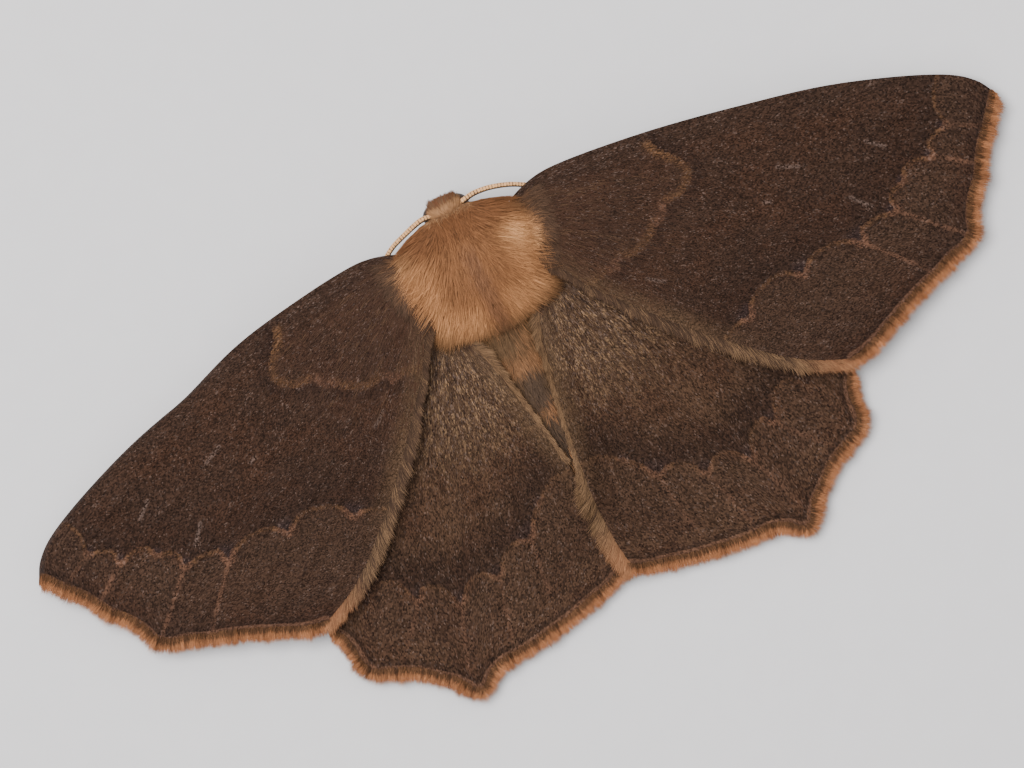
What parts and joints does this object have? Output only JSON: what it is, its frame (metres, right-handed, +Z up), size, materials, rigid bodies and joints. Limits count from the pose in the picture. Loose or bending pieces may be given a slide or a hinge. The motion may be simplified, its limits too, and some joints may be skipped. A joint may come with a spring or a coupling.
{
  "type": "looper moth",
  "caption": "Life-size still model of a dark looper moth resting with all wings spread flat, orange-tan furry thorax, scalloped ochre lines and an orange fringe.",
  "frame": {"origin": "on the floor under the middle of the whole moth's bounding box", "axes": "+Z up, -Y towards the head, +X towards the moth's left wing tip"},
  "size_m": [0.0481, 0.0207, 0.0048],
  "materials": {
    "wing_scales": "dark chocolate brown scales, matt",
    "hindwing_scales": "olive brown scales, matt",
    "body_hair": "orange-tan hair",
    "head_hair": "tan hair",
    "abdomen_scales": "brown and orange scales",
    "leg_scales": "brown scales",
    "antenna_scales": "cream scales in rings",
    "eye_gloss": "glossy black"
  },
  "bodies": {
    "root": {"head": "head_hair", "thorax": "body_hair", "abdomen": "abdomen_scales", "eye_left": "eye_gloss", "antenna_left": "antenna_scales", "palp_left": "head_hair", "forewing_left": "wing_scales", "hindwing_left": "hindwing_scales", "foreleg_left": "leg_scales", "midleg_left": "leg_scales", "hindleg_left": "leg_scales", "eye_right": "eye_gloss", "antenna_right": "antenna_scales", "palp_right": "head_hair", "forewing_right": "wing_scales", "hindwing_right": "hindwing_scales", "foreleg_right": "leg_scales", "midleg_right": "leg_scales", "hindleg_right": "leg_scales"}
  },
  "joints": []
}
